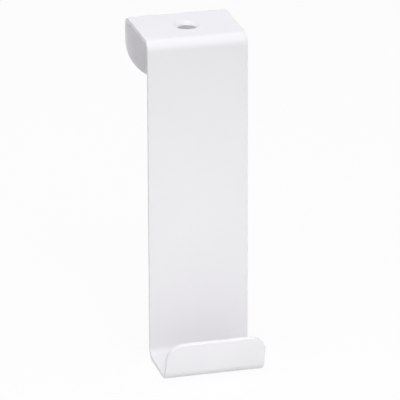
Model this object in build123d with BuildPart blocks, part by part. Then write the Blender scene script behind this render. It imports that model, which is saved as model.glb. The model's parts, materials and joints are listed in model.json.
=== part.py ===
from build123d import *
from math import cos, radians, sin
import os

# Over-the-door hook, one strip of sheet steel folded four times and powder coated.
# The origin lies on the screw hole's axis, at the underside of the top, where the door's top edge
# meets it. +Z is up, -Y points into the room, and +X is to the right as seen from the room.
# The leaf of the door stands below the top, between the plate and the back lip.

# The strip
width = 50.0
sheet = 2.0
coat = 0.06
bend_radius = 4.0  # inside a fold
edge_round = 0.4  # the coat's rounding of every cut edge

# The fold that sits over the door
door_leaf = 40.0
door_play = 1.0
back_lip_depth = 33.2  # from the door's top edge to the lip's lower edge
back_lip_flat = 5.0  # straight part of the lower edge, between its two large corners

# The plate on the room side
drop = 162.5  # from the door's top edge to the underside of the flange

# The hook at the foot, its flange and lip measured to where their outer faces would meet
flange_depth = 29.4
lip_length = 20.6
lip_lean = 15.0  # degrees out from upright
lip_corner_radius = 8.6

# The countersunk screw hole in the top
hole_setback = 19.0  # from the door's face on the room side
hole_radius = 4.8
sink_radius = 6.5
sink_angle = 90.0
sink_round = 1.2  # soft mouth that the coat leaves

# Sizes that follow from those
thickness = sheet + 2 * coat
outer_radius = bend_radius + thickness
gap = door_leaf + door_play
plate_back = -hole_setback
plate_front = plate_back - thickness
lip_inner = plate_back + gap
lean = radians(lip_lean)
foot_corner = (plate_front - flange_depth, -drop)
lip_end = (foot_corner[0] - lip_length * sin(lean), foot_corner[1] + lip_length * cos(lean))

# The back lip's corners are as large as its flat leaves them, or as its straight run allows.
back_straight = back_lip_depth - bend_radius
back_corner_radius = min((width - back_lip_flat) / 2, back_straight - edge_round)


def is_across_sheet(edge):
    """True for an edge that runs from one face of the sheet to the other."""
    return abs(edge.length - thickness) < 1e-6


# Side view of the sheet, from the back lip's lower edge, over the door and down to the hook's lip.
# The line follows the face that looks at the door, which turns to the outside at the foot.
with BuildPart() as hook_strap:
    with BuildSketch(Plane.YZ):
        with BuildLine():
            FilletPolyline(
                (lip_inner, -back_lip_depth),
                (lip_inner, 0),
                (plate_back, 0),
                (plate_back, -drop),
                foot_corner,
                lip_end,
                radius=[bend_radius, bend_radius, outer_radius, outer_radius],
            )
            offset(amount=thickness, side=Side.RIGHT)
        make_face()
    extrude(amount=width / 2, both=True)

    # Corners of the two free ends, cut in the flat sheet before it is folded
    across_sheet = hook_strap.edges().filter_by(is_across_sheet)
    fillet(across_sheet.group_by(Axis.Y)[-1], radius=back_corner_radius)
    fillet(across_sheet.group_by(Axis.Y)[0], radius=lip_corner_radius)

    # The coat rounds the edges of every cut face, which are the ones that span the sheet.
    cut_faces = hook_strap.faces().filter_by(lambda face: any(is_across_sheet(edge) for edge in face.edges()))
    cut_edges = cut_faces.edges().filter_by(lambda edge: not is_across_sheet(edge))
    fillet(cut_edges, radius=edge_round)

    # Countersunk screw hole through the top, with a short straight wall below the cone
    with Locations((0, 0, thickness)):
        CounterSinkHole(hole_radius, sink_radius, counter_sink_angle=sink_angle)
    mouth = hook_strap.edges().filter_by(GeomType.CIRCLE).group_by(Axis.Z)[-1]
    fillet(mouth, radius=sink_round)
hook_strap.part.label = "hook_strap"

os.makedirs("parts", exist_ok=True)
export_step(hook_strap.part, "parts/hook_strap.step")
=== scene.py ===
"""Folded, powder-coated door hook on a pale studio floor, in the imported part's own frame and in metres."""

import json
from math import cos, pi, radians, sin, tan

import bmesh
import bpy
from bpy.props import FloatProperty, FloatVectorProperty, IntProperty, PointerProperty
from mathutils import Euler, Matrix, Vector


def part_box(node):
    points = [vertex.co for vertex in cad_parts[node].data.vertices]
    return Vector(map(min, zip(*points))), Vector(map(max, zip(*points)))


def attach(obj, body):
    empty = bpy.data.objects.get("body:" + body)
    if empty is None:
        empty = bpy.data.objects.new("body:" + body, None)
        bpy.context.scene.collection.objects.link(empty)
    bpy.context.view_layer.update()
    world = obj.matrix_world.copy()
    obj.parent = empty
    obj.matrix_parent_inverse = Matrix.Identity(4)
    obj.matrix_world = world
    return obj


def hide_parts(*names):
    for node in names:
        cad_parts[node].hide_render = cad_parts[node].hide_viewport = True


bl_info = {
    "name": "Door hook",
    "version": (1, 0, 0),
    "blender": (4, 5, 0),
    "location": "3D View > Sidebar > Door hook",
    "description": "Folds a coated steel strip into an over-the-door hook and sets it in a studio",
    "category": "Add Mesh",
}

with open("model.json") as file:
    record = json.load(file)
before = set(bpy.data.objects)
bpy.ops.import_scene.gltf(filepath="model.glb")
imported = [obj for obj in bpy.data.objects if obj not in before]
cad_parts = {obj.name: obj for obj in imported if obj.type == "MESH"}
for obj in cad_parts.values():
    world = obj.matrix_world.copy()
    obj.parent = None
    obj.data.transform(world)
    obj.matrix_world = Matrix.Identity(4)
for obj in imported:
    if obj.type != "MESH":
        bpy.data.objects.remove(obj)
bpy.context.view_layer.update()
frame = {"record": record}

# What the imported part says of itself
LOW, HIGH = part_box("hook_strap")
MOUNTS = {mount["name"]: mount for mount in frame["record"]["mounts"]}
PLATE_BACK = MOUNTS["door_face_rest"]["pos_m"][1]
HOLE_RADIUS = MOUNTS["screw_hole"]["dims"]["r_mm"] / 1000
HOLE_WALL = MOUNTS["screw_hole"]["dims"]["length_mm"] / 1000
COAT_RGB = frame["record"]["materials"][0]["base_color"][:3]

SINK_SLOPE = pi / 4  # of the countersink's cone, which is 90 degrees wide
TOLERANCE = 1e-6  # lengths that differ by less are the same
LEVEL = 0.9999  # least Z of the unit normal of a level face
CUT_EDGE = "cut_edge"  # layer that marks the cut edges of the sheet
WHITE = (1.0, 1.0, 1.0, 1.0)
SENSOR_WIDTH = 36  # of the camera, in millimetres

# Each soft box's place, the point that it faces, its width and its height
SOFT_BOXES = {
    "top_box": ((0.0, 0.0, 1.0), (0, 0, 0), 0.6, 0.6),
    "key_box": ((0.05, -0.92, 0.9), (0, 0, -0.08), 0.6, 0.6),
    "low_box": ((0.0, -0.22, -0.1), (0, -0.03, -0.1), 0.25, 0.1),
    "left_box": ((-1.0, -0.3, 0.3), (0, 0, -0.08), 0.5, 0.5),
    "right_box": ((1.0, 0.05, 0.3), (0, 0, -0.08), 0.5, 0.5),
    "back_box": ((-0.1, 1.2, -0.06), (0, 0, -0.06), 0.3, 0.28),
}


def length(name, description, default, precision=5):
    """Property that holds a length in metres."""
    return FloatProperty(
        name=name, description=description, default=default, min=0, unit="LENGTH", precision=precision
    )


def angle(name, description, degrees):
    """Property that holds an angle."""
    return FloatProperty(name=name, description=description, default=radians(degrees), subtype="ANGLE")


def share(name, description, default):
    """Property that holds a share of one."""
    return FloatProperty(
        name=name, description=description, default=default, min=0, max=1, precision=3, subtype="FACTOR"
    )


def colour(name, description, default):
    """Property that holds a colour."""
    return FloatVectorProperty(
        name=name, description=description, default=default, subtype="COLOR", size=3, min=0, max=1
    )


def steps(name, description, default, least):
    """Property that holds a number of facets."""
    return IntProperty(name=name, description=description, default=default, min=least)


def power(name, description, default):
    """Property that holds a lamp's power in watts."""
    return FloatProperty(
        name=name, description=description, default=default, min=0, precision=3, unit="POWER"
    )


class StrapSizes(bpy.types.PropertyGroup):
    """Sizes of the folded strip."""

    width: length("Width", "Width of the strip", HIGH.x - LOW.x)
    thickness: length("Thickness", "Thickness of the coated sheet", HIGH.z)
    gap: length("Door gap", "Clear gap between the plate and the back lip", HIGH.y - HIGH.z - PLATE_BACK)
    drop: length("Drop", "From the door's top edge to the flange's underside", -LOW.z)
    bend_radius: length("Bend radius", "Radius inside each fold", 0.004)
    back_lip_depth: length("Back lip depth", "From the door's top edge to the back lip's lower edge", 0.0332)
    back_lip_flat: length("Back lip flat", "Straight part of the back lip's lower edge", 0.005)
    flange_depth: length("Flange depth", "From the plate's front to the corner of flange and lip", 0.0294)
    lip_length: length("Lip length", "From the corner of flange and lip to the lip's upper edge", 0.0206)
    lip_lean: angle("Lip lean", "Lean of the lip out from upright", 15)
    lip_corner: length("Lip corner", "Radius of the lip's upper corners", 0.0086)
    edge_round: length("Edge rounding", "Radius that the coat gives each cut edge", 0.0004)
    sink_radius: length("Countersink", "Radius of the countersink where its cone meets the top", 0.0065)
    sink_round: length("Mouth rounding", "Radius of the countersink's soft mouth", 0.0012)
    bend_steps: steps("Bend steps", "Facets along each fold", 20, 4)
    corner_steps: steps("Corner steps", "Facets along each corner of the outline", 32, 4)
    edge_steps: steps("Edge steps", "Facets across a rounded cut edge", 4, 1)
    mouth_steps: steps("Mouth steps", "Facets across the countersink's mouth", 6, 1)
    hole_steps: steps("Hole steps", "Facets round the screw hole", 96, 16)


class CoatFinish(bpy.types.PropertyGroup):
    """Colour and texture of the powder coat."""

    face_colour: colour("Colour", "Colour of the coat", COAT_RGB)
    # Grey of the cut edges: partly the thinner coat there, partly painted shade that darkens every cut face
    edge_film_and_shade_colour: colour("Edge colour", "Colour on the cut edges, where the coat is thin", (0.85, 0.84, 0.85))
    clouding: share("Clouding", "Share of its colour that the coat loses in its darkest clouds", 0.025)
    roughness: share("Roughness", "Mean roughness", 0.5)
    roughness_spread: share("Roughness spread", "How far the roughness strays from its mean", 0.03)
    peel_size: length("Peel size", "Width of one swell of the orange peel", 0.0018)
    peel_depth: length("Peel depth", "Height of the orange peel", 0.000012, precision=6)


class StudioSettings(bpy.types.PropertyGroup):
    """Camera, floor and light."""

    azimuth: angle("Azimuth", "Camera's turn round the object", -14.91)
    elevation: angle("Elevation", "Camera's angle above level", 20.79)
    roll: angle("Roll", "Camera's turn about its own line of sight", -0.19)
    distance: length("Distance", "From the camera to the point it looks at", 2.0)
    target: FloatVectorProperty(
        name="Target",
        description="Point that the camera looks at",
        default=(0.00414, -0.00847, -0.08631),
        subtype="TRANSLATION",
        unit="LENGTH",
    )
    lens: FloatProperty(name="Lens", description="Focal length", default=365.8, unit="CAMERA")
    floor_size: length("Floor size", "Side of the floor", 8.0)
    floor_colour: colour("Floor colour", "Colour of the floor", (0.8, 0.8, 0.8))
    floor_roughness: share("Floor roughness", "Roughness of the floor", 0.9)
    shadow: share("Shadow", "Share of the floor's own shading that shows", 0.07)
    ambient: FloatProperty(name="Ambient", description="Strength of the surroundings", default=0.14, min=0)
    top_power: power("Top", "Power of the soft box above", 5.85)
    top_colour: colour("Top colour", "Colour of the soft box above", (0.96, 0.96, 1.0))
    key_power: power("Key", "Power of the high front box", 5.75)
    low_power: power("Low", "Power of the low front box", 0.107)
    left_power: power("Left", "Power of the left soft box", 2.4)
    right_power: power("Right", "Power of the right soft box", 1.2)
    back_power: power("Back", "Power of the soft box behind", 3.8)


def only(geometry, kind):
    """Elements of one bmesh type out of an operator's result."""
    return [item for item in geometry if isinstance(item, kind)]


def fold(bm, cap, centre, turn, facets):
    """Turns the strip's end face about a line along X, and returns the new end face."""
    geometry = [cap, *cap.edges, *cap.verts]
    turned = bmesh.ops.spin(bm, geom=geometry, cent=centre, axis=(1, 0, 0), angle=turn, steps=facets)
    return only(turned["geom_last"], bmesh.types.BMFace)[0]


def pull(bm, cap, travel):
    """Moves the strip's end face straight on, and returns the new end face."""
    geometry = [cap, *cap.edges, *cap.verts]
    pulled = bmesh.ops.extrude_face_region(bm, geom=geometry)["geom"]
    bmesh.ops.translate(bm, vec=travel, verts=only(pulled, bmesh.types.BMVert))
    return only(pulled, bmesh.types.BMFace)[0]


def bevel(bm, edges, radius, facets):
    """Rounds edges to a radius."""
    bmesh.ops.bevel(
        bm, geom=edges, offset=radius, segments=facets, profile=0.5, affect="EDGES", material=-1
    )


def spans_sheet(edge, thickness):
    """True for an edge that runs from one broad side of the sheet to the other."""
    return abs(edge.calc_length() - thickness) < TOLERANCE


def folded_strip(bm, sizes):
    """Slab of the top, whose two ends are folded and pulled out into the back lip and the hook."""
    r, t = sizes.bend_radius, sizes.thickness
    front, back = PLATE_BACK + r, PLATE_BACK + sizes.gap - r
    plate_front = PLATE_BACK - t
    foot = r + t - sizes.drop  # height of the axes that the foot's two folds turn about
    lip_turn = pi / 2 - sizes.lip_lean
    setback = (r + t) * tan(lip_turn / 2)  # from the corner of flange and lip back to the fold's start
    flange_end = plate_front - sizes.flange_depth + setback
    lip_straight = sizes.lip_length - setback
    back_straight = sizes.back_lip_depth - r
    facets = sizes.bend_steps

    slab = bmesh.ops.create_cube(bm, size=1)["verts"]
    bmesh.ops.scale(bm, vec=(sizes.width, back - front, t), verts=slab)
    bmesh.ops.translate(bm, vec=(0, (front + back) / 2, t / 2), verts=slab)
    by_depth = sorted(bm.faces, key=lambda face: face.calc_center_median().y)
    end, back_end = by_depth[0], by_depth[-1]

    back_end = fold(bm, back_end, (0, back, -r), -pi / 2, facets)
    back_end = pull(bm, back_end, (0, 0, -back_straight))

    end = fold(bm, end, (0, front, -r), pi / 2, facets)
    end = pull(bm, end, (0, 0, foot + r))
    end = fold(bm, end, (0, plate_front - r, foot), -pi / 2, facets)
    end = pull(bm, end, (0, flange_end - plate_front + r, 0))
    end = fold(bm, end, (0, flange_end, foot), -lip_turn, facets)
    end = pull(bm, end, (0, -lip_straight * sin(sizes.lip_lean), lip_straight * cos(sizes.lip_lean)))

    # Corners of the outline, across the sheet at both free ends
    back_corner = min((sizes.width - sizes.back_lip_flat) / 2, back_straight - sizes.edge_round)
    for cap, radius in ((back_end, back_corner), (end, sizes.lip_corner)):
        bevel(bm, [edge for edge in cap.edges if spans_sheet(edge, t)], radius, sizes.corner_steps)


def round_cut_edges(bm, sizes):
    """Rounds the edges of every cut face, and marks the cut faces for the coat."""
    cut = bm.faces.layers.int.new(CUT_EDGE)
    for face in bm.faces:
        face[cut] = int(any(spans_sheet(edge, sizes.thickness) for edge in face.edges))
    edges = [
        edge
        for edge in bm.edges
        if any(face[cut] for face in edge.link_faces) and not spans_sheet(edge, sizes.thickness)
    ]
    bevel(bm, edges, sizes.edge_round, sizes.edge_steps)
    mask = bm.verts.layers.float.new(CUT_EDGE)
    for vert in bm.verts:
        vert[mask] = float(any(face[cut] for face in vert.link_faces))
    bm.faces.layers.int.remove(cut)


def level_faces(bm):
    """The top's two broad level faces, the upper one first."""
    bm.normal_update()
    level = [
        face
        for face in bm.faces
        if abs(face.normal.z) > LEVEL and face.calc_center_median().z > -TOLERANCE
    ]
    upper = max(level, key=lambda face: (face.normal.z, face.calc_area()))
    lower = max(level, key=lambda face: (-face.normal.z, face.calc_area()))
    return upper, lower


def drill(bm, sizes):
    """Countersunk hole, whose wall is spun about Z and takes the place of a disc in both level faces."""
    upper, lower = level_faces(bm)
    outlines = [list(upper.edges), list(lower.edges)]

    # Side view of the wall, from the rim in the top over the soft mouth, down the cone and the bore
    rim = sizes.sink_radius + sizes.sink_round * tan(SINK_SLOPE / 2)
    start = bmesh.ops.create_vert(bm, co=(rim, 0, sizes.thickness))["vert"]
    centre = (rim, 0, sizes.thickness - sizes.sink_round)
    mouth = bmesh.ops.spin(
        bm, geom=start, cent=centre, axis=(0, 1, 0), angle=-SINK_SLOPE, steps=sizes.mouth_steps
    )
    last = only(mouth["geom_last"], bmesh.types.BMVert)[0]
    for height in (HOLE_WALL, 0):
        new = bmesh.ops.extrude_vert_indiv(bm, verts=[last])["verts"]
        bmesh.ops.translate(bm, vec=Vector((HOLE_RADIUS, 0, height)) - last.co, verts=new)
        last = new[0]
    profile = [edge for edge in bm.edges if edge.is_wire]
    points = [vert for vert in bm.verts if vert.is_wire]
    bmesh.ops.spin(
        bm,
        geom=[*profile, *points],
        axis=(0, 0, 1),
        angle=2 * pi,
        steps=sizes.hole_steps,
        use_merge=True,
    )

    rims = [edge for edge in bm.edges if edge.is_boundary]
    top_rim = [edge for edge in rims if edge.verts[0].co.z > HOLE_WALL]
    low_rim = [edge for edge in rims if edge.verts[0].co.z < HOLE_WALL]
    bmesh.ops.delete(bm, geom=[upper, lower], context="FACES_ONLY")
    for outline, circle in zip(outlines, (top_rim, low_rim)):
        bmesh.ops.triangle_fill(bm, edges=outline + circle, use_beauty=True)
    bmesh.ops.recalc_face_normals(bm, faces=bm.faces)


def place(name, data):
    """Puts an object into the scene, in place of an earlier one of that name."""
    earlier = bpy.data.objects.get(name)
    if earlier:
        bpy.data.objects.remove(earlier)
    made = bpy.data.objects.new(name, data)
    bpy.context.scene.collection.objects.link(made)
    return made


def node(tree, kind, inputs=None, **settings):
    """Adds a shader node, with its own settings and the values of its inputs."""
    added = tree.nodes.new(kind)
    for name, value in settings.items():
        setattr(added, name, value)
    for name, value in (inputs or {}).items():
        added.inputs[name].default_value = value
    return added


def new_material(name):
    """Empty node material, with its output node."""
    material = bpy.data.materials.new(name)
    material.use_nodes = True
    tree = material.node_tree
    tree.nodes.clear()
    return material, tree, node(tree, "ShaderNodeOutputMaterial")


def blend(tree, factor, a, b):
    """Colour socket that goes from colour or socket a to b by a factor socket."""
    mix = node(tree, "ShaderNodeMix", data_type="RGBA")
    # The node has sockets for every type of data, of which these are the factor and the two colours.
    for index, value in ((0, factor), (6, a), (7, b)):
        if isinstance(value, bpy.types.NodeSocket):
            tree.links.new(value, mix.inputs[index])
        else:
            mix.inputs[index].default_value = value
    return mix.outputs[2]


def noise(tree, place_on, scale, detail, roughness):
    """Factor socket of a noise with a number of swells to the metre, laid on the object's own axes."""
    swells = node(
        tree, "ShaderNodeTexNoise", {"Scale": scale, "Detail": detail, "Roughness": roughness}
    )
    tree.links.new(place_on, swells.inputs["Vector"])
    return swells.outputs["Fac"]


def powder_coat(finish):
    """Semi-gloss white powder coat: faint clouding, a soft orange peel, and cut edges greyed partly for the
    thin film there and partly as painted shade.
    """
    material, tree, output = new_material("powder_coat")
    link = tree.links.new
    place_on = node(tree, "ShaderNodeTexCoord").outputs["Object"]

    # Colour: slow clouding of the film, and the cut edges from the piece's own mask, greyed partly for the
    # thinner film and partly as painted shade
    cloud = noise(tree, place_on, scale=38.0, detail=3.0, roughness=0.55)
    face = (*finish.face_colour, 1.0)
    cloudy = tuple(channel * (1 - finish.clouding) for channel in finish.face_colour) + (1.0,)
    clouded = blend(tree, cloud, face, cloudy)
    edge = node(tree, "ShaderNodeAttribute", attribute_type="GEOMETRY", attribute_name=CUT_EDGE)
    coloured = blend(tree, edge.outputs["Fac"], clouded, (*finish.edge_film_and_shade_colour, 1.0))

    # Roughness, which varies a little from place to place: the noise keeps mostly between 0.3 and 0.7
    sheen = noise(tree, place_on, scale=150.0, detail=2.0, roughness=0.5)
    least = finish.roughness - finish.roughness_spread
    most = finish.roughness + finish.roughness_spread
    limits = {"From Min": 0.3, "From Max": 0.7, "To Min": least, "To Max": most}
    spread = node(tree, "ShaderNodeMapRange", limits)
    link(sheen, spread.inputs["Value"])

    # Orange peel
    peel = noise(tree, place_on, scale=1 / finish.peel_size, detail=1.5, roughness=0.4)
    relief = node(tree, "ShaderNodeBump", {"Strength": 1.0, "Distance": finish.peel_depth})
    link(peel, relief.inputs["Height"])

    surface = node(tree, "ShaderNodeBsdfPrincipled", {"IOR": 1.5})
    link(coloured, surface.inputs["Base Color"])
    link(spread.outputs["Result"], surface.inputs["Roughness"])
    link(relief.outputs["Normal"], surface.inputs["Normal"])
    link(surface.outputs["BSDF"], output.inputs["Surface"])
    return material


def seen_as_white(tree, lit, white, part_white):
    """Mixes in a share of a plain white shader, for the rays by which a surface is seen or mirrored."""
    light_path = node(tree, "ShaderNodeLightPath")
    seen = light_path.outputs["Is Camera Ray"]
    for ray in ("Is Glossy Ray", "Is Transmission Ray"):
        either = node(tree, "ShaderNodeMath", operation="MAXIMUM")
        tree.links.new(seen, either.inputs[0])
        tree.links.new(light_path.outputs[ray], either.inputs[1])
        seen = either.outputs["Value"]
    part = node(tree, "ShaderNodeMath", operation="MULTIPLY")
    part.inputs[1].default_value = part_white
    tree.links.new(seen, part.inputs[0])
    mix = node(tree, "ShaderNodeMixShader")
    tree.links.new(part.outputs["Value"], mix.inputs["Fac"])
    tree.links.new(lit.outputs[0], mix.inputs[1])
    tree.links.new(white.outputs[0], mix.inputs[2])
    return mix.outputs["Shader"]


def floor_finish(studio):
    """Matt pale floor that the camera sees as near white, with the object's shadow kept."""
    material, tree, output = new_material("studio_floor")
    look = {"Base Color": (*studio.floor_colour, 1.0), "Roughness": studio.floor_roughness}
    matt = node(tree, "ShaderNodeBsdfPrincipled", look)
    white = node(tree, "ShaderNodeEmission", {"Color": WHITE, "Strength": 1.0})
    seen = seen_as_white(tree, matt, white, 1 - studio.shadow)
    tree.links.new(seen, output.inputs["Surface"])
    return material


def studio_floor(studio):
    """Level square that the hook stands on."""
    bm = bmesh.new()
    bmesh.ops.create_grid(bm, x_segments=1, y_segments=1, size=studio.floor_size / 2)
    ground = bpy.data.meshes.new("studio_floor")
    bm.to_mesh(ground)
    bm.free()
    ground.materials.append(floor_finish(studio))
    floor = place("studio_floor", ground)
    floor.location.z = LOW.z
    return floor


def surroundings(studio):
    """World that lights faintly from all sides, and is seen as white."""
    world = bpy.data.worlds.new("studio_world")
    world.use_nodes = True
    tree = world.node_tree
    tree.nodes.clear()
    around = node(tree, "ShaderNodeBackground", {"Color": WHITE, "Strength": studio.ambient})
    white = node(tree, "ShaderNodeBackground", {"Color": WHITE, "Strength": 1.0})
    seen = seen_as_white(tree, around, white, 1.0)
    tree.links.new(seen, node(tree, "ShaderNodeOutputWorld").inputs["Surface"])
    return world


def soft_box(name, watts, tint=WHITE[:3]):
    """Rectangular area light that faces a point."""
    position, aim, width, height = SOFT_BOXES[name]
    lamp = bpy.data.lights.new(name, "AREA")
    lamp.shape = "RECTANGLE"
    lamp.size = width
    lamp.size_y = height
    lamp.energy = watts
    lamp.color = tint
    box = place(name, lamp)
    box.visible_camera = False
    box.location = position
    box.rotation_euler = (Vector(aim) - Vector(position)).to_track_quat("-Z", "Y").to_euler()
    return box


def studio_camera(studio):
    """Camera that looks at its target from the photograph's angle."""
    camera = place("camera", bpy.data.cameras.new("camera"))
    camera.data.lens = studio.lens
    camera.data.sensor_width = SENSOR_WIDTH
    level = cos(studio.elevation)
    away = Vector((sin(studio.azimuth) * level, -cos(studio.azimuth) * level, sin(studio.elevation)))
    camera.location = Vector(studio.target) + studio.distance * away
    aim = Euler((pi / 2 - studio.elevation, 0, studio.azimuth)).to_matrix()
    camera.rotation_euler = (aim @ Matrix.Rotation(studio.roll, 3, "Z")).to_euler()
    return camera


class DOORHOOK_OT_fold(bpy.types.Operator):
    """Folds the coated strip into the hook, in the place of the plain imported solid"""

    bl_idname = "doorhook.fold"
    bl_label = "Fold the hook"

    def execute(self, context):
        sizes = context.scene.hook_sizes
        bm = bmesh.new()
        folded_strip(bm, sizes)
        round_cut_edges(bm, sizes)
        drill(bm, sizes)
        if not all(edge.is_manifold for edge in bm.edges):
            raise RuntimeError("The folded strip isn't closed.")
        for face in bm.faces:
            face.smooth = True
        mesh = bpy.data.meshes.new("coated_hook")
        bm.to_mesh(mesh)
        bm.free()
        mesh.materials.append(powder_coat(context.scene.hook_finish))
        hook = place("coated_hook", mesh)
        even = hook.modifiers.new("flat_faces_stay_flat", "WEIGHTED_NORMAL")
        even.mode = "FACE_AREA"
        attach(hook, "root")
        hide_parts("hook_strap")
        return {"FINISHED"}


class DOORHOOK_OT_studio(bpy.types.Operator):
    """Sets the floor, the light and the camera"""

    bl_idname = "doorhook.studio"
    bl_label = "Set the studio"

    def execute(self, context):
        scene, studio = context.scene, context.scene.hook_studio
        floor = studio_floor(studio)
        scene.world = surroundings(studio)
        boxes = (
            soft_box("top_box", studio.top_power, studio.top_colour),
            soft_box("key_box", studio.key_power),
            soft_box("low_box", studio.low_power),
            soft_box("left_box", studio.left_power),
            soft_box("right_box", studio.right_power),
            soft_box("back_box", studio.back_power),
        )
        scene.camera = studio_camera(studio)
        scene.view_settings.view_transform = "Standard"
        return {"FINISHED"}


class DOORHOOK_PT_panel(bpy.types.Panel):
    """Steps and settings of the door hook"""

    bl_idname = "DOORHOOK_PT_panel"
    bl_label = "Door hook"
    bl_space_type = "VIEW_3D"
    bl_region_type = "UI"
    bl_category = "Door hook"

    def draw(self, context):
        scene = context.scene
        operators = (
            (DOORHOOK_OT_fold, (scene.hook_sizes, scene.hook_finish)),
            (DOORHOOK_OT_studio, (scene.hook_studio,)),
        )
        for operator, groups in operators:
            box = self.layout.box()
            box.operator(operator.bl_idname)
            for group in groups:
                for name in group.__annotations__:
                    box.prop(group, name)


CLASSES = (
    StrapSizes,
    CoatFinish,
    StudioSettings,
    DOORHOOK_OT_fold,
    DOORHOOK_OT_studio,
    DOORHOOK_PT_panel,
)


def register():
    """Makes the classes known to Blender, and gives the scene its three groups of settings."""
    for cls in CLASSES:
        bpy.utils.register_class(cls)
    bpy.types.Scene.hook_sizes = PointerProperty(type=StrapSizes)
    bpy.types.Scene.hook_finish = PointerProperty(type=CoatFinish)
    bpy.types.Scene.hook_studio = PointerProperty(type=StudioSettings)


def unregister():
    """Takes back what register does."""
    del bpy.types.Scene.hook_sizes
    del bpy.types.Scene.hook_finish
    del bpy.types.Scene.hook_studio
    for cls in reversed(CLASSES):
        bpy.utils.unregister_class(cls)


def main():
    """Registers the classes, and builds the hook and its studio."""
    register()
    bpy.ops.doorhook.fold()
    bpy.ops.doorhook.studio()


if __name__ == "__main__":
    main()
